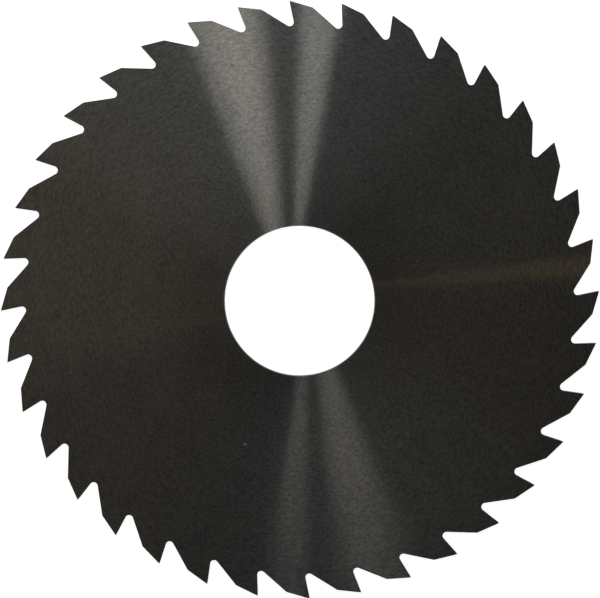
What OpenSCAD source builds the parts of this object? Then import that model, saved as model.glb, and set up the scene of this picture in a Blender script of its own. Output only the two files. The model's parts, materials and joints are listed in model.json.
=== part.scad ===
// Slitting saw: one thin ground disc with straight teeth around its rim and a plain arbor hole.
// Millimetres. The axis is Z, the tooth tips touch the plane z = 0, and one tip points along +X.
// Seen from above, the teeth cut counter-clockwise.

/* [Blade] */
// Diameter over the tooth tips
tip_d = 101.6; // [90:0.1:115]
// Thickness at the tooth tips
blade_t = 1.5875; // [0.8:0.0125:3.2]
// Depth of the dish ground into each side, from the tips in to the clamping land
dish_depth = 0.05; // [0.02:0.005:0.1]
// Diameter of the flat clamping land around the arbor hole
clamp_land_d = 44; // [36:0.5:70]

/* [Arbor hole] */
// Diameter of the arbor hole
bore_d = 25.4; // [16:0.1:32]
// Chamfer at each mouth of the arbor hole
bore_chamfer = 0.15; // [0.05:0.01:0.25]

/* [Teeth] */
// Number of teeth
teeth = 36; // [28:1:44]
// Rake: how far a cutting face leans back from the radius, in degrees
rake = 10; // [0:0.5:15]
// Relief: how far the land behind a tip falls away from the tangent there, in degrees
relief = 18; // [12:0.5:24]
// Length of the land behind a tip
tooth_land = 4.1; // [3:0.1:5]
// How far the back of a tooth, past its land, falls away from the same tangent, in degrees
back_fall = 43.5; // [38:0.5:50]
// Radius of the gullet between the back of one tooth and the cutting face of the next
gullet_r = 0.7; // [0.4:0.05:1.2]

/* [Hidden] */
$fn = 96;
tip_r = tip_d / 2;
bore_r = bore_d / 2;
clamp_land_r = clamp_land_d / 2;
pitch = 360 / teeth;

// How far the cuts run on past the surfaces that they cut through
overrun = gullet_r;
blank_r = tip_r + overrun;

// One tooth space lies between a tip on +Y and the next tip, one pitch clockwise
function clockwise(angle) = [sin(angle), cos(angle)];
function falling(angle) = [cos(angle), -sin(angle)];
function left_of(v) = [-v[1], v[0]];
function cross_z(a, b) = a[0] * b[1] - a[1] * b[0];
land_dir = falling(relief);
back_dir = falling(back_fall);
face_dir = clockwise(pitch - rake);
tip = [0, tip_r];
next_tip = tip_r * clockwise(pitch);
heel = tip + tooth_land * land_dir;

// The gullet's centre is one gullet radius away from the back and from the next cutting face
beside_heel = heel + gullet_r * left_of(back_dir);
beside_next_tip = next_tip + gullet_r * left_of(face_dir);
across = beside_next_tip - beside_heel;
back_run = cross_z(across, face_dir) / cross_z(back_dir, face_dir);
gullet = beside_heel + back_run * back_dir;

// The disc before its teeth are cut, with its arbor hole, clamping lands and dished sides
module blank() {
    dish_slope = dish_depth / (tip_r - clamp_land_r);
    lower_side = [
        [bore_r, dish_depth + bore_chamfer],
        [bore_r + bore_chamfer, dish_depth],
        [clamp_land_r, dish_depth],
        [blank_r, -dish_slope * overrun],
    ];
    upper_side = [for (i = [len(lower_side) - 1:-1:0]) [lower_side[i][0], blade_t - lower_side[i][1]]];
    rotate_extrude() polygon(concat(lower_side, upper_side));
}

// What is ground away between two tips: the outline over the land, the back and the next cutting face,
// and the round gullet that the last two run into
module tooth_space() {
    cut_t = blade_t + 2 * overrun;
    land_start = tip - overrun / sin(relief) * land_dir;
    outside = (blank_r + 2 * overrun) * clockwise(pitch / 2);
    face_end = next_tip + 2 * overrun * face_dir;
    face_foot = gullet - gullet_r * left_of(face_dir);
    back_foot = gullet - gullet_r * left_of(back_dir);
    outline = [gullet, back_foot, heel, land_start, outside, face_end, face_foot];
    translate([gullet[0], gullet[1], -overrun]) {
        cylinder(cut_t, r = gullet_r);
        linear_extrude(cut_t) polygon([for (point = outline) point - gullet]);
    }
}

module saw_blade() {
    color([0.2, 0.19, 0.18])
    difference() {
        blank();
        for (i = [0:teeth - 1]) rotate(i * pitch - 90) tooth_space();
    }
}

saw_blade();
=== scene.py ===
import json
import math

import bpy
import numpy as np
from mathutils import Matrix, Vector


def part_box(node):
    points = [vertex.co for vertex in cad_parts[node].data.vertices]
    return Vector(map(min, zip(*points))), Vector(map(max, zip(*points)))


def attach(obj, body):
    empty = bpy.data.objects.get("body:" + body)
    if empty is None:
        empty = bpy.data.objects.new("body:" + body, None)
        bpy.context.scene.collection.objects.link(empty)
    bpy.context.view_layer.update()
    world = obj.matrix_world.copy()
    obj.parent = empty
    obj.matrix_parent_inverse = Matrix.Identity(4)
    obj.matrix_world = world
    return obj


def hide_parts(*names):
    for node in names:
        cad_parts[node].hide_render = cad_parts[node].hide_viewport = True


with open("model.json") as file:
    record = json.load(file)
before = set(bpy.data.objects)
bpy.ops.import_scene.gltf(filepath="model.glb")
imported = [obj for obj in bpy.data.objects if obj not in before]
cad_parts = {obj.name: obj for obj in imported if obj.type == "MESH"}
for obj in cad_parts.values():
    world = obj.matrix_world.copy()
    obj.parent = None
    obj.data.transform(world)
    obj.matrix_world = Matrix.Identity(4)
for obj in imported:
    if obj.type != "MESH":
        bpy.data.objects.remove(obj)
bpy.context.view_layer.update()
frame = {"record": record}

# Sizes are metres and angles are radians where nothing else is said. The blade's axis is Z, and one tooth
# tip points along +X.
MM = 0.001
lowest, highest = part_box("saw_blade")
mounts = {mount["name"]: mount for mount in frame["record"]["mounts"]}

# Blade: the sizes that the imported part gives, and the radius of its clamping land
tip_r = highest.x
blade_t = highest.z - lowest.z
bore_r = mounts["arbor_bore"]["dims"]["r_mm"] * MM
bore_wall = mounts["arbor_bore"]["dims"]["length_mm"] * MM
dish_depth = mounts["lower_clamp_face"]["pos_m"][2]
bore_chamfer = (blade_t - bore_wall) / 2 - dish_depth
clamp_land_r = 22 * MM

# Teeth: the form between one tip and the next, as the part has it
teeth = 36
rake = math.radians(10)
relief = math.radians(18)
tooth_land = 4.1 * MM
back_fall = math.radians(43.5)
gullet_r = 0.7 * MM
edge_break = 0.02 * MM

# Mesh: how far below the tips the lines from the teeth reach a ring, how much they lean on the way, which is
# more than the cutting faces do, the rings from there to the clamping land, the steps round a gullet, the
# longest step along a straight stretch, the angle past which an edge stays sharp, and how near two points
# are one
root_depth = 1.2 * tooth_land
root_r = tip_r - root_depth
line_lean = rake + math.radians(7)
rings_to_land = 5
gullet_steps = 10
longest_step = 0.55 * MM
sharp_angle = math.radians(18)
merge_distance = 0.001 * MM

# Zones of the surface, and the strip of the bake map that each fills, across it and up it
SIDE, FLANK, BORE = range(3)
top_strip = (0.005, 0.455)
bottom_strip = (0.465, 0.915)
flank_strip = (0.965, 0.925)
bore_strip = (0.975, 0.995)
map_up = (0.005, 0.995)
map_down = (0.995, 0.005)

# Photograph: its frame in pixels, where the hole's centre lies in it, its scale, and how far its
# right-hand direction is turned from the blade's +X
photo_w, photo_h = 600, 598
hole_px = (299.55, 300.87)
px_per_mm = 5.8928
photo_turn = math.radians(-1.94)

# Camera: how far it stands from the face, how far off the axis, to the right and up in the photograph, the
# nearest that it sees, and the width of its sensor
camera_distance = 510 * MM
camera_right = math.radians(0.76)
camera_up = math.radians(2.4)
camera_nearest = 10 * MM
sensor_mm = 36

# Grooves of the sides: how far their lay misses the axis, which turns the bright wedges a little, how far
# apart they are, how steep, what share of each leans outwards, how many spacings they wander, their least
# depth, and how much deeper they get in a streak
lay_offset = 1.5 * MM
groove_spacing = 0.04 * MM
groove_slope = 0.4
outward_share = 0.57
groove_wander = 1.5
least_depth = 0.93
depth_swing = 0.14

# Gloss of the sides: the roughness at the rim, and the power of the radius that it follows from there.
# Painted shade by the hole: how bright the sides' colour is at the hole, and the radius past which it has
# its full brightness
rim_roughness = 0.155
hole_softening = -0.2
painted_hole_shade = 0.8
shade_r = 29 * MM

# Streaks of the sides: how wide they are, and how long midway between the hole and the tips
streak_width = 0.37 * MM
streak_length = 0.75 * MM

# Carbide: its grey, the share of it that mirrors light and doesn't scatter it, the size of its grain, its
# mottling and its cloudy patches, and how much the patches change its brightness and its warmth
carbide_grey = (0.23, 0.227, 0.221)
metal_share = 0.7
grain_size = 0.4 * MM
mottle_size = 0.9 * MM
cloud_size = 6 * MM
cloud_strength = 0.25
cloud_warmth = 0.6

# How strongly streaks, grain and mottling show on the sides, on the teeth and in the hole
side_strengths = {"Streak Strength": 0.95, "Grain Strength": 0.75, "Warmth Strength": 0.12}
tooth_strengths = {"Streak Strength": 0.7, "Grain Strength": 0.4, "Warmth Strength": 0.06}
bore_strengths = {"Streak Strength": 0.7, "Grain Strength": 0.3, "Warmth Strength": 0.06}

# Walls of the teeth and of the hole, which are ground more coarsely: their grey and their gloss, and on each
# the width and length of the streaks and the slope of the grooves
wall_grey = (0.3, 0.296, 0.288)
wall_anisotropy = 0.8
wall_roughness = 0.2
wall_roughness_swing = 0.15
tooth_streak_width = 0.12 * MM
tooth_streak_length = 2.5 * MM
tooth_slope = 0.15
bore_streak_width = 0.06 * MM
bore_streak_length = 4 * MM
bore_slope = 0.12

# Specks and faint scratches on the upper side: the two pixels of the photograph that each runs between,
# half its width in mm, how much brighter it is, and how much warmer
side_marks = (
    ((244.6, 444.7), (245.4, 444.7), 0.36, 3.3, -0.03),
    ((281.6, 486.5), (282, 486.5), 0.3, 0.7, 0.0),
    ((70.7, 368.5), (70.7, 373.5), 0.26, 0.5, 0.0),
    ((206, 65.5), (222, 62.5), 0.2, -0.16, 0.03),
    ((243, 55), (252.5, 66), 0.2, -0.14, 0.06),
    ((229.5, 62.5), (243, 78), 0.2, -0.22, 0.05),
    ((206, 27), (216, 23.5), 0.9, -0.1, 0.1),
)

# Floor: half its width in metres, its grey, its roughness, and the glow that keeps it bright in the shadow
floor_half = 3.0
floor_grey = (0.8, 0.8, 0.8, 1)
floor_roughness = 0.9
floor_glow = 0.95

# Studio: the white that the camera sees, and the dim wall that the blade mirrors: where its top lies and
# where it is at its full radiance, both as the rise of a unit direction
white = (1, 1, 1, 1)
wall_top = 0.65
wall_full = 0.4
wall_radiance = 0.09

# Lights: each one's name, its azimuth from the photograph's right and its polar angle from the axis in
# degrees, its distance in metres, the angles that it fills across and along in degrees, its radiance, its
# colour, and whether it fades towards its ends
lights = (
    ("wide_lamp", 105.9, 35, 0.3, 17.6, 16, 4.95, (1, 0.99, 0.92), False),
    ("core_lamp", 104.8, 35, 0.32, 8, 16, 1.2, (1, 0.73, 0.57), False),
    ("narrow_lamp", 85.9, 35, 0.3, 9, 16, 4.8, (1, 1, 0.95), False),
    ("amber_lamp", 2.3, 40, 0.5, 4.5, 16, 0.85, (1, 0.63, 0.22), False),
    ("crown_card", 95, 35, 0.5, 40, 20, 0.25, (0.8, 0.9, 1), True),
    ("top_card", 102, 30, 0.6, 110, 26, 0.65, (0.9, 0.95, 0.98), True),
    ("left_card", 146, 30, 0.22, 110, 28, 0.35, (1, 0.89, 0.68), True),
    ("low_card", 190, 29, 0.22, 110, 26, 0.25, (1, 0.77, 0.58), True),
    ("right_card", 42, 29, 0.6, 100, 26, 0.195, (0.93, 1, 0.94), True),
)


class Wire:
    """One output of a node. Arithmetic on wires adds math nodes to their tree."""

    def __init__(self, tree, socket):
        self.tree = tree
        self.socket = socket

    def maths(self, operation, *others):
        node = self.tree.nodes.new("ShaderNodeMath")
        node.operation = operation
        for socket, value in zip(node.inputs, (self, *others)):
            feed(socket, value)
        return Wire(self.tree, node.outputs["Value"])

    def __add__(self, other):
        return self.maths("ADD", other)

    def __sub__(self, other):
        return self.maths("SUBTRACT", other)

    def __mul__(self, other):
        return self.maths("MULTIPLY", other)

    def __truediv__(self, other):
        return self.maths("DIVIDE", other)

    def __neg__(self):
        return self.maths("MULTIPLY", -1)

    def equals(self, whole_number):
        return self.maths("COMPARE", whole_number, 0.5)

    def sin(self):
        return self.maths("SINE")

    def cos(self):
        return self.maths("COSINE")


def feed(socket, value):
    """Gives a socket a plain value, or links another node's output to it."""
    if isinstance(value, Wire):
        value.tree.links.new(value.socket, socket)
    else:
        socket.default_value = value


def place(tree, kind, inputs=None, **settings):
    """Adds one node, with its settings, and feeds the inputs that are named or numbered."""
    node = tree.nodes.new(kind)
    for name, value in settings.items():
        setattr(node, name, value)
    for key, value in (inputs or {}).items():
        feed(node.inputs[key], value)
    return node


def out(node, name=0):
    """One output of a node, by its name or number."""
    return Wire(node.id_data, node.outputs[name])


def vector(tree, x, y, z):
    """Three numbers as one vector."""
    return out(place(tree, "ShaderNodeCombineXYZ", {"X": x, "Y": y, "Z": z}))


# Geometry of the blade

def blade_tree():
    """The tree that makes the blade: one tooth's rim, drawn in to the hole and back, and set all round."""
    tree = bpy.data.node_groups.new("Slitting saw blade", "GeometryNodeTree")
    for name in ("Tip Radius", "Root Radius", "Bore Radius", "Clamp Land Radius", "Thickness", "Dish Depth",
                 "Bore Chamfer", "Rake", "Line Lean", "Relief", "Tooth Land", "Back Fall", "Gullet Radius",
                 "Edge Break"):
        tree.interface.new_socket(name, in_out="INPUT", socket_type="NodeSocketFloat")
    tree.interface.new_socket("Teeth", in_out="INPUT", socket_type="NodeSocketInt")
    for name in ("Side Finish", "Flank Finish", "Bore Finish"):
        tree.interface.new_socket(name, in_out="INPUT", socket_type="NodeSocketMaterial")
    tree.interface.new_socket("Blade", in_out="OUTPUT", socket_type="NodeSocketGeometry")
    given = tree.nodes.new("NodeGroupInput")

    tip = out(given, "Tip Radius")
    bore = out(given, "Bore Radius")
    clamp_land = out(given, "Clamp Land Radius")
    thickness = out(given, "Thickness")
    dish = out(given, "Dish Depth")
    chamfer = out(given, "Bore Chamfer")
    pitch = out(place(tree, "ShaderNodeMath", {0: math.tau, 1: out(given, "Teeth")}, operation="DIVIDE"))
    rake_angle = out(given, "Rake")
    land = out(given, "Tooth Land")
    edge_width = out(given, "Edge Break")

    outline = tooth_outline(tree, given, tip, pitch, rake_angle, land)
    position = place(tree, "GeometryNodeInputPosition")
    rim = place(tree, "ShaderNodeSeparateXYZ", {0: out(position)})
    rim_x, rim_y = out(rim, "X"), out(rim, "Y")
    rim_r = out(place(tree, "ShaderNodeVectorMath", {0: out(position)}, operation="LENGTH"), "Value")

    # The lines of the mesh lean with the cutting faces near the rim, so that no two of them cross
    root = out(given, "Root Radius")
    lean = out(given, "Line Lean").maths("TANGENT") / tip
    turn = rim_y.maths("ARCTAN2", rim_x) - lean * (rim_r - root)
    normal = out(place(tree, "GeometryNodeInputNormal"))
    ends = out(place(tree, "GeometryNodeCurveEndpointSelection"))
    kept = {"rim_x": (rim_x, "FLOAT"), "rim_y": (rim_y, "FLOAT"), "turn": (turn, "FLOAT"),
            "outward": (normal, "FLOAT_VECTOR"), "at_tip": (ends, "FLOAT")}
    shape = outline
    for name, (value, kind) in kept.items():
        stored = place(tree, "GeometryNodeStoreNamedAttribute",
                       {"Geometry": shape, "Name": name, "Value": value}, data_type=kind, domain="POINT")
        shape = out(stored)

    def recall(name, kind="FLOAT"):
        return out(place(tree, "GeometryNodeInputNamedAttribute", {"Name": name}, data_type=kind))

    rim_x, rim_y, turn = recall("rim_x"), recall("rim_y"), recall("turn")
    outward = place(tree, "ShaderNodeSeparateXYZ", {0: recall("outward", "FLOAT_VECTOR")})
    # The edge break runs out at the cutting tips, which stay sharp
    broken = edge_width * recall("at_tip").maths("SUBTRACT", 1).maths("ABSOLUTE")

    def dish_at(radius):
        fall = (tip - radius) / (tip - clamp_land)
        return dish * fall.maths("MINIMUM", 1).maths("MAXIMUM", 0)

    def on_rim(inset):
        x = rim_x - out(outward, "X") * inset
        y = rim_y - out(outward, "Y") * inset
        radius = (x * x + y * y).maths("SQRT")
        return x, y, radius

    def on_ring(radius):
        return turn.cos() * radius, turn.sin() * radius, radius

    def upper(line, drop=None):
        x, y, radius = line
        z = thickness - dish_at(radius)
        return vector(tree, x, y, z - drop if drop else z)

    def lower(line, lift=None):
        x, y, radius = line
        z = dish_at(radius)
        return vector(tree, x, y, z + lift if lift else z)

    mouth = bore + chamfer
    rings = [root + (clamp_land - root) * (i / rings_to_land) for i in range(rings_to_land + 1)]
    rings += [(clamp_land + mouth) * 0.5, mouth]
    sharp_rim = on_rim(0.0)
    broken_rim = on_rim(broken)
    rows = [(FLANK, upper(broken_rim))]
    rows += [(SIDE, upper(on_ring(radius))) for radius in rings]
    rows += [(BORE, upper(on_ring(bore), chamfer)), (BORE, lower(on_ring(bore), chamfer))]
    rows += [(BORE, lower(on_ring(mouth)))]
    rows += [(SIDE, lower(on_ring(radius))) for radius in rings[-2::-1]]
    rows += [(SIDE, lower(broken_rim)), (FLANK, lower(sharp_rim, broken)), (FLANK, upper(sharp_rim, broken))]

    shape = out(place(tree, "GeometryNodeCurveToMesh", {"Curve": shape}))
    shape = out(place(tree, "GeometryNodeSetPosition", {"Geometry": shape, "Position": rows[-1][1]}))
    edge = None
    for zone, row in rows:
        drawn = place(tree, "GeometryNodeExtrudeMesh", {"Mesh": shape, "Offset Scale": 0.0}, mode="EDGES")
        if edge:
            feed(drawn.inputs["Selection"], edge)
        edge = out(drawn, "Top")
        moved = place(tree, "GeometryNodeSetPosition",
                      {"Geometry": out(drawn, "Mesh"), "Selection": edge, "Position": row})
        marked = place(tree, "GeometryNodeStoreNamedAttribute",
                       {"Geometry": out(moved), "Selection": out(drawn, "Side"),
                        "Name": "zone", "Value": zone},
                       data_type="INT", domain="FACE")
        shape = out(marked)

    index = out(place(tree, "GeometryNodeInputIndex"))
    spots = place(tree, "GeometryNodePoints", {"Count": out(given, "Teeth")})
    turned = vector(tree, 0.0, 0.0, index * pitch)
    ring = place(tree, "GeometryNodeInstanceOnPoints",
                 {"Points": out(spots), "Instance": shape, "Rotation": turned})
    whole = out(place(tree, "GeometryNodeRealizeInstances", {"Geometry": out(ring)}))
    whole = out(place(tree, "GeometryNodeMergeByDistance", {"Geometry": whole, "Distance": merge_distance}))
    angle = out(place(tree, "GeometryNodeInputMeshEdgeAngle"), "Unsigned Angle")
    crease = angle.maths("GREATER_THAN", sharp_angle)
    whole = out(place(tree, "GeometryNodeSetShadeSmooth",
                      {"Geometry": whole, "Shade Smooth": True}, domain="FACE"))
    whole = out(place(tree, "GeometryNodeSetShadeSmooth",
                      {"Geometry": whole, "Selection": crease, "Shade Smooth": False}, domain="EDGE"))
    zone = recall("zone", "INT")
    for number, finish in ((SIDE, "Side Finish"), (FLANK, "Flank Finish"), (BORE, "Bore Finish")):
        here = zone.equals(number)
        whole = out(place(tree, "GeometryNodeSetMaterial",
                          {"Geometry": whole, "Selection": here, "Material": out(given, finish)}))
    ending = tree.nodes.new("NodeGroupOutput")
    feed(ending.inputs["Blade"], whole)
    return tree


def tooth_outline(tree, given, tip, pitch, rake_angle, land):
    """The outline from one tip clockwise to the next: land, back, round gullet and cutting face."""
    relief_angle = out(given, "Relief")
    fall = out(given, "Back Fall")
    face_lean = pitch - rake_angle
    next_tip = (pitch.cos() * tip, -(pitch.sin() * tip))
    heel = (tip - land * relief_angle.sin(), -(land * relief_angle.cos()))
    back_dir = (-fall.sin(), -fall.cos())
    face_dir = (face_lean.cos(), -face_lean.sin())
    across = (next_tip[0] - heel[0], next_tip[1] - heel[1])

    def cross_z(a, b):
        return a[0] * b[1] - a[1] * b[0]

    back_run = cross_z(across, face_dir) / cross_z(back_dir, face_dir)
    corner = (heel[0] + back_dir[0] * back_run, heel[1] + back_dir[1] * back_run)

    index = out(place(tree, "GeometryNodeInputIndex"))
    corners = ((tip, 0.0), heel, corner, next_tip)
    gullet_number = 2
    chosen = place(tree, "GeometryNodeIndexSwitch", data_type="VECTOR")
    while len(chosen.index_switch_items) < len(corners):
        chosen.index_switch_items.new()
    feed(chosen.inputs["Index"], index)
    for number, (x, y) in enumerate(corners):
        feed(chosen.inputs[number + 1], vector(tree, x, y, 0.0))
    points = place(tree, "GeometryNodePoints", {"Count": len(corners), "Position": out(chosen)})
    line = place(tree, "GeometryNodePointsToCurves", {"Points": out(points)})
    in_gullet = index.equals(gullet_number)
    rounded = place(tree, "GeometryNodeFilletCurve",
                    {"Curve": out(line), "Count": gullet_steps,
                     "Radius": in_gullet * out(given, "Gullet Radius")}, mode="POLY")

    # Long straight stretches are divided, so that the faces of the side stay small
    position = out(place(tree, "GeometryNodeInputPosition"))
    ahead = place(tree, "GeometryNodeFieldAtIndex",
                  {"Index": index + 1, "Value": position}, data_type="FLOAT_VECTOR")
    step = place(tree, "ShaderNodeVectorMath", {0: out(ahead), 1: position}, operation="DISTANCE")
    cuts = (out(step, "Value") / longest_step).maths("FLOOR")
    divided = place(tree, "GeometryNodeSubdivideCurve", {"Curve": out(rounded), "Cuts": cuts})
    return out(place(tree, "GeometryNodeSetCurveNormal", {"Curve": out(divided)}, mode="Z_UP"))


def make_blade(side_finish, flank_finish, bore_finish):
    """The blade as one plain mesh."""
    carrier = bpy.data.objects.new("blade_carrier", bpy.data.meshes.new("blade_carrier"))
    bpy.context.scene.collection.objects.link(carrier)
    tree = blade_tree()
    modifier = carrier.modifiers.new("Slitting saw blade", "NODES")
    modifier.node_group = tree
    sizes = {
        "Tip Radius": tip_r, "Root Radius": root_r, "Bore Radius": bore_r, "Clamp Land Radius": clamp_land_r,
        "Thickness": blade_t, "Dish Depth": dish_depth, "Bore Chamfer": bore_chamfer, "Rake": rake,
        "Line Lean": line_lean, "Relief": relief, "Tooth Land": tooth_land, "Back Fall": back_fall,
        "Gullet Radius": gullet_r, "Edge Break": edge_break, "Teeth": teeth,
        "Side Finish": side_finish, "Flank Finish": flank_finish, "Bore Finish": bore_finish,
    }
    for item in tree.interface.items_tree:
        if item.in_out == "INPUT":
            modifier[item.identifier] = sizes[item.name]
    evaluated = carrier.evaluated_get(bpy.context.evaluated_depsgraph_get())
    mesh = bpy.data.meshes.new_from_object(evaluated)
    bpy.data.objects.remove(carrier)
    lay_out_map(mesh)
    blade = bpy.data.objects.new("ground_blade", mesh)
    bpy.context.scene.collection.objects.link(blade)
    return blade


def lay_out_map(mesh):
    """The map that the finishes are baked on. Radius or height runs across it and the turn runs up it, so
    that its first direction lies as the finishes' tangents do."""

    def read(items, name, kind, width=1):
        values = np.empty(len(items) * width, kind)
        items.foreach_get(name, values)
        return values

    places = read(mesh.vertices, "co", np.float32, 3).reshape(-1, 3)
    x, y, z = places[read(mesh.loops, "vertex_index", np.int32)].T
    starts = read(mesh.polygons, "loop_start", np.int32)
    totals = read(mesh.polygons, "loop_total", np.int32)
    zone = np.repeat(read(mesh.attributes["zone"].data, "value", np.int32), totals)
    radius = np.hypot(x, y)

    # The map is cut along the mesh line that starts at the tip on +X, and no face lies across the cut
    lean = math.tan(line_lean) / tip_r * np.maximum(radius - root_r, 0)
    turn = np.arctan2(y, x) - lean + math.tan(line_lean) / tip_r * (tip_r - root_r)
    centre = np.arctan2(np.add.reduceat(np.sin(turn), starts), np.add.reduceat(np.cos(turn), starts))
    centre = np.repeat(centre % math.tau, totals)
    turn += math.tau * np.round((centre - turn) / math.tau)

    def fill(ends, values):
        low, high = ends
        share = (values - values.min()) / (values.max() - values.min())
        return low + (high - low) * share

    side = zone == SIDE
    upper = z > blade_t / 2
    swirl = turn + lean - lay_offset / radius
    strips = (
        (side & upper, radius, top_strip, swirl, map_up),
        (side & ~upper, radius, bottom_strip, swirl, map_down),
        (zone == FLANK, z, flank_strip, turn, map_up),
        (zone == BORE, z, bore_strip, turn, map_up),
    )
    across = np.zeros(len(turn))
    up = np.zeros(len(turn))
    for here, crosswise, across_ends, lengthwise, up_ends in strips:
        across[here] = fill(across_ends, crosswise[here])
        up[here] = fill(up_ends, lengthwise[here])
    layer = mesh.uv_layers.new(name="OFBake")
    layer.uv.foreach_set("vector", np.stack([across, up], 1).astype(np.float32).ravel())


# Finishes

def effect_group(name, inputs, outputs):
    """A new shader node group with named sockets, and its two end nodes."""
    tree = bpy.data.node_groups.new(name, "ShaderNodeTree")
    for socket, kind in inputs.items():
        tree.interface.new_socket(socket, in_out="INPUT", socket_type=kind)
    for socket, kind in outputs.items():
        tree.interface.new_socket(socket, in_out="OUTPUT", socket_type=kind)
    return tree, tree.nodes.new("NodeGroupInput"), tree.nodes.new("NodeGroupOutput")


def grind_marks_group():
    """Fine grooves from grinding, given how many lie across so far, and a vector that is long along them."""
    tree, given, ending = effect_group(
        "Grind marks",
        {"Count": "NodeSocketFloat", "Vector": "NodeSocketVector"},
        {"Slope": "NodeSocketFloat", "Streak": "NodeSocketFloat"})
    noise = place(tree, "ShaderNodeTexNoise",
                  {"Vector": out(given, "Vector"), "Scale": 1.0, "Detail": 1.0, "Roughness": 0.5})
    streak = out(noise, "Fac")
    phase = (out(given, "Count") + streak * groove_wander).maths("FRACT")
    outward = ((phase - (1 - outward_share)) / outward_share).maths("MAXIMUM", 0)
    inward = (phase / (outward_share - 1) + 1).maths("MAXIMUM", 0)
    depth = streak * depth_swing + least_depth
    feed(ending.inputs["Slope"], (outward * outward - inward * inward) * depth)
    feed(ending.inputs["Streak"], streak)
    return tree


def carbide_tone_group():
    """How bright and how warm bare carbide is from place to place: streaks, grain, mottling and clouds."""
    tree, given, ending = effect_group(
        "Carbide tone",
        {"Vector": "NodeSocketVector", "Streak": "NodeSocketFloat", "Streak Strength": "NodeSocketFloat",
         "Grain Strength": "NodeSocketFloat", "Warmth Strength": "NodeSocketFloat"},
        {"Brightness": "NodeSocketFloat", "Warmth": "NodeSocketFloat"})

    def swing(size, detail):
        """Noise of one size, from about -0.5 to 0.5."""
        noise = place(tree, "ShaderNodeTexNoise",
                      {"Vector": out(given, "Vector"), "Scale": 1 / size, "Detail": detail,
                       "Roughness": 0.6})
        return out(noise, "Fac") - 0.5

    clouds = swing(cloud_size, detail=2.0)
    streaks = (out(given, "Streak") - 0.5) * out(given, "Streak Strength")
    grain = swing(grain_size, detail=1.0) * out(given, "Grain Strength")
    feed(ending.inputs["Brightness"], streaks + grain + clouds * cloud_strength + 1)
    tints = swing(mottle_size, detail=1.0) + clouds * cloud_warmth
    feed(ending.inputs["Warmth"], tints * out(given, "Warmth Strength"))
    return tree


def mark_group():
    """A thin mark from one point to another, 1 along its middle and 0 past its width."""
    tree, given, ending = effect_group(
        "Mark",
        {"Vector": "NodeSocketVector", "From": "NodeSocketVector", "To": "NodeSocketVector",
         "Half Width": "NodeSocketFloat"},
        {"Mask": "NodeSocketFloat"})

    def vectors(operation, first, second, result="Vector"):
        return out(place(tree, "ShaderNodeVectorMath", {0: first, 1: second}, operation=operation), result)

    reach = vectors("SUBTRACT", out(given, "To"), out(given, "From"))
    offset = vectors("SUBTRACT", out(given, "Vector"), out(given, "From"))
    along = vectors("DOT_PRODUCT", offset, reach, "Value") / vectors("DOT_PRODUCT", reach, reach, "Value")
    along = along.maths("MAXIMUM", 0).maths("MINIMUM", 1)
    nearest = out(place(tree, "ShaderNodeVectorMath", {0: reach, "Scale": along}, operation="SCALE"))
    distance = vectors("DISTANCE", offset, nearest, "Value")
    mask = place(tree, "ShaderNodeMapRange",
                 {"Value": distance, "From Min": 0.0, "From Max": out(given, "Half Width"),
                  "To Min": 1.0, "To Max": 0.0}, interpolation_type="SMOOTHSTEP")
    feed(ending.inputs["Mask"], out(mask))
    return tree


def add_effect(tree, group, inputs):
    """One use of a shared effect in a material, with this material's own values."""
    node = place(tree, "ShaderNodeGroup", node_tree=group)
    for name, value in inputs.items():
        feed(node.inputs[name], value)
    return node


def metal_finish(name, anisotropic, turned=0.0):
    """A new material with one metal shader, and the place on the blade as a vector and as three numbers."""
    material = bpy.data.materials.new(name)
    material.use_nodes = True
    tree = material.node_tree
    shader = tree.nodes["Principled BSDF"]
    shader.inputs["Metallic"].default_value = metal_share
    shader.inputs["Anisotropic"].default_value = anisotropic
    shader.inputs["Anisotropic Rotation"].default_value = turned
    spot = out(place(tree, "ShaderNodeTexCoord"), "Object")
    split = place(tree, "ShaderNodeSeparateXYZ", {0: spot})
    return material, tree, shader, spot, out(split, "X"), out(split, "Y"), out(split, "Z")


def lean_normal(tree, shader, across, slope):
    """Tips the shading normal across the grooves by their slope."""
    geometry = place(tree, "ShaderNodeNewGeometry")
    unit = place(tree, "ShaderNodeVectorMath", {0: across}, operation="NORMALIZE")
    tipped = place(tree, "ShaderNodeVectorMath", {0: out(unit), "Scale": slope}, operation="SCALE")
    total = place(tree, "ShaderNodeVectorMath",
                  {0: out(geometry, "Normal"), 1: out(tipped)}, operation="ADD")
    level = place(tree, "ShaderNodeVectorMath", {0: out(total)}, operation="NORMALIZE")
    feed(shader.inputs["Normal"], out(level))


def colour_carbide(tree, shader, grey, brightness, warmth):
    """Base colour: the grey, brighter or dimmer, with more red and less blue where it is warmer."""
    red = brightness * (warmth + 1) * grey[0]
    green = brightness * grey[1]
    blue = brightness * (-warmth + 1) * grey[2]
    colour = place(tree, "ShaderNodeCombineColor", {"Red": red, "Green": green, "Blue": blue})
    feed(shader.inputs["Base Color"], out(colour))


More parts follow.
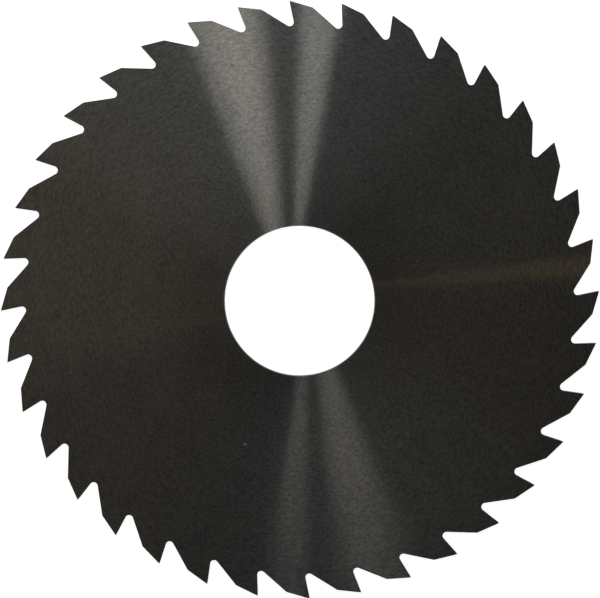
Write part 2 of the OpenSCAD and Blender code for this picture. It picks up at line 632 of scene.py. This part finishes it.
def circular_grind(grooves, tone, mark):
    """The blade's sides, ground with fine circular grooves."""
    material, tree, shader, spot, x, y, z = metal_finish("circular_grind", 1.0)
    radius = (x * x + y * y).maths("SQRT")
    level_x, level_y = x / radius, y / radius
    across = vector(tree, x + level_y * lay_offset, y - level_x * lay_offset, 0.0)
    feed(shader.inputs["Tangent"], across)

    # Streaks are read round a circle that turns them into arcs, and the height keeps the two sides unalike
    circle = (tip_r + bore_r) / 2 / streak_length
    lay = vector(tree, radius / streak_width + z / groove_spacing, level_x * circle, level_y * circle)
    ground = add_effect(tree, grooves, {"Count": radius / groove_spacing, "Vector": lay})
    toned = add_effect(tree, tone, {"Vector": spot, "Streak": out(ground, "Streak"), **side_strengths})
    brightness, warmth = out(toned, "Brightness"), out(toned, "Warmth")
    for start, end, half_width, gain, tint in side_marks:
        marked = add_effect(tree, mark, {"Vector": spot, "From": face_at(*start), "To": face_at(*end),
                                         "Half Width": half_width * MM})
        brightness = brightness + out(marked, "Mask") * gain
        warmth = warmth + out(marked, "Mask") * tint
    # Painted shade: the sides' base colour is darkened towards the hole
    shade = place(tree, "ShaderNodeMapRange",
                  {"Value": radius, "From Min": bore_r, "From Max": shade_r,
                   "To Min": painted_hole_shade, "To Max": 1.0}, interpolation_type="SMOOTHSTEP")
    colour_carbide(tree, shader, carbide_grey, brightness * out(shade), warmth)

    # Towards the hole the edges of the bright wedges grow softer
    feed(shader.inputs["Roughness"], (radius / tip_r).maths("POWER", hole_softening) * rim_roughness)
    lean_normal(tree, shader, across, out(ground, "Slope") * groove_slope)
    return material


def tooth_grind(grooves, tone):
    """Lands, backs, gullets and cutting faces, ground straight across the blade."""
    quarter_turn = 0.25
    material, tree, shader, spot, x, y, z = metal_finish("tooth_grind", wall_anisotropy, quarter_turn)
    feed(shader.inputs["Tangent"], vector(tree, 0.0, 0.0, -1.0))
    radius = (x * x + y * y).maths("SQRT")
    # Grooves are counted along the rim: by the turn on lands and backs, by the radius on cutting faces
    run = radius + y.maths("ARCTAN2", x) * (tip_r / 2)
    lay = vector(tree, x / tooth_streak_width, y / tooth_streak_width, z / tooth_streak_length)
    ground = add_effect(tree, grooves, {"Count": run / groove_spacing, "Vector": lay})
    toned = add_effect(tree, tone, {"Vector": spot, "Streak": out(ground, "Streak"), **tooth_strengths})
    colour_carbide(tree, shader, wall_grey, out(toned, "Brightness"), out(toned, "Warmth"))
    feed(shader.inputs["Roughness"], out(ground, "Streak") * wall_roughness_swing + wall_roughness)
    normal = out(place(tree, "ShaderNodeNewGeometry"), "Normal")
    along_rim = place(tree, "ShaderNodeVectorMath", {0: (0, 0, 1), 1: normal}, operation="CROSS_PRODUCT")
    lean_normal(tree, shader, out(along_rim), out(ground, "Slope") * tooth_slope)
    return material


def bore_grind(grooves, tone):
    """The hole's wall and its chamfers, ground round the axis."""
    material, tree, shader, spot, x, y, z = metal_finish("bore_grind", wall_anisotropy)
    upright = vector(tree, 0.0, 0.0, 1.0)
    feed(shader.inputs["Tangent"], upright)
    lay = vector(tree, x / bore_streak_length, y / bore_streak_length, z / bore_streak_width)
    ground = add_effect(tree, grooves, {"Count": z / groove_spacing, "Vector": lay})
    toned = add_effect(tree, tone, {"Vector": spot, "Streak": out(ground, "Streak"), **bore_strengths})
    colour_carbide(tree, shader, wall_grey, out(toned, "Brightness"), out(toned, "Warmth"))
    feed(shader.inputs["Roughness"], out(ground, "Streak") * wall_roughness_swing + wall_roughness)
    lean_normal(tree, shader, upright, out(ground, "Slope") * bore_slope)
    return material


# Stage

def from_photo(right, up, height):
    """A point given by the photograph's right and up directions, from the hole's centre on the floor."""
    return Matrix.Rotation(photo_turn, 4, "Z") @ Vector((right, up, height))


def face_at(px, py):
    """The point of the upper side that a pixel of the photograph shows."""
    right = (px - hole_px[0]) / px_per_mm * MM
    up = (hole_px[1] - py) / px_per_mm * MM
    return from_photo(right, up, blade_t - dish_depth / 2)


def make_camera():
    """A camera that sees the blade as the photograph does."""
    face = blade_t - dish_depth
    stand = from_photo(math.tan(camera_right), math.tan(camera_up), 1).normalized() * camera_distance
    stand.z += face
    # The hole's centre lies a little off the middle of the photograph, so the camera aims beside it
    aim_right = (photo_w / 2 - hole_px[0]) / px_per_mm * MM
    aim_up = (hole_px[1] - photo_h / 2) / px_per_mm * MM
    aim = from_photo(aim_right, aim_up, face)
    back = (stand - aim).normalized()
    right = from_photo(0, 1, 0).cross(back).normalized()
    up = back.cross(right)
    data = bpy.data.cameras.new("camera")
    data.sensor_width = sensor_mm
    data.lens = px_per_mm * (camera_distance / MM) * sensor_mm / photo_w
    data.clip_start = camera_nearest
    camera = bpy.data.objects.new("camera", data)
    camera.matrix_world = Matrix.Translation(stand) @ Matrix((right, up, back)).transposed().to_4x4()
    bpy.context.scene.collection.objects.link(camera)
    bpy.context.scene.camera = camera


def soft_light(name, azimuth, polar, distance, across, along, radiance, colour, faded):
    """A soft oval light that faces the hole. Its azimuth counts from the photograph's right, its polar angle
    from the axis; across and along are the angles that it fills, round the axis and up and down."""
    turn = math.radians(azimuth)
    tilt = math.radians(polar)
    flat = distance * math.sin(tilt)
    spot = from_photo(flat * math.cos(turn), flat * math.sin(turn), distance * math.cos(tilt))
    data = bpy.data.lights.new(name, "AREA")
    data.shape = "ELLIPSE"
    data.size = 2 * flat * math.tan(math.radians(across) / 2)
    data.size_y = 2 * distance * math.tan(math.radians(along) / 2)
    data.energy = radiance * math.pi * (math.pi / 4 * data.size * data.size_y)
    data.color = colour
    if faded:
        # Towards its ends it sends less and less to the blade
        reach = data.size / 2 / distance
        data.spread = 2 * math.atan(reach)
        data.energy *= 1 - math.atan(reach) / reach
    back = spot.normalized()
    right = Vector((0, 0, 1)).cross(back).normalized()
    up = back.cross(right)
    light = bpy.data.objects.new(name, data)
    light.matrix_world = Matrix.Translation(spot) @ Matrix((right, up, back)).transposed().to_4x4()
    bpy.context.scene.collection.objects.link(light)


def make_floor():
    """A plain pale floor that stays bright in the blade's shadow."""
    half = floor_half
    corners = [(-half, -half, 0), (half, -half, 0), (half, half, 0), (-half, half, 0)]
    mesh = bpy.data.meshes.new("floor")
    mesh.from_pydata(corners, [], [(0, 1, 2, 3)])
    material = bpy.data.materials.new("pale_floor")
    material.use_nodes = True
    shader = material.node_tree.nodes["Principled BSDF"]
    shader.inputs["Base Color"].default_value = floor_grey
    shader.inputs["Roughness"].default_value = floor_roughness
    shader.inputs["Emission Color"].default_value = white
    shader.inputs["Emission Strength"].default_value = floor_glow
    mesh.materials.append(material)
    floor = bpy.data.objects.new("floor", mesh)
    bpy.context.scene.collection.objects.link(floor)


def make_world():
    """Pale to the camera; the blade mirrors a dim wall low all round, and no sky above it."""
    world = bpy.data.worlds.new("studio")
    world.use_nodes = True
    tree = world.node_tree
    tree.nodes.clear()
    seen = place(tree, "ShaderNodeBackground", {"Color": white, "Strength": 1.0})
    direction = out(place(tree, "ShaderNodeTexCoord"), "Generated")
    split = place(tree, "ShaderNodeSeparateXYZ", {0: direction})
    low = place(tree, "ShaderNodeMapRange",
                {"Value": out(split, "Z"), "From Min": wall_top, "From Max": wall_full,
                 "To Min": 0.0, "To Max": wall_radiance}, interpolation_type="SMOOTHSTEP")
    mirrored = place(tree, "ShaderNodeBackground", {"Color": white, "Strength": out(low)})
    path = place(tree, "ShaderNodeLightPath")
    mix = place(tree, "ShaderNodeMixShader", {0: out(path, "Is Camera Ray"), 1: out(mirrored), 2: out(seen)})
    ending = place(tree, "ShaderNodeOutputWorld")
    feed(ending.inputs["Surface"], out(mix))
    bpy.context.scene.world = world


grooves = grind_marks_group()
tone = carbide_tone_group()
sides = circular_grind(grooves, tone, mark_group())
tooth_walls = tooth_grind(grooves, tone)
hole_wall = bore_grind(grooves, tone)
blade = make_blade(sides, tooth_walls, hole_wall)
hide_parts("saw_blade")
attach(blade, "root")

make_camera()
make_floor()
make_world()
for light in lights:
    soft_light(*light)
bpy.context.scene.view_settings.view_transform = "Standard"
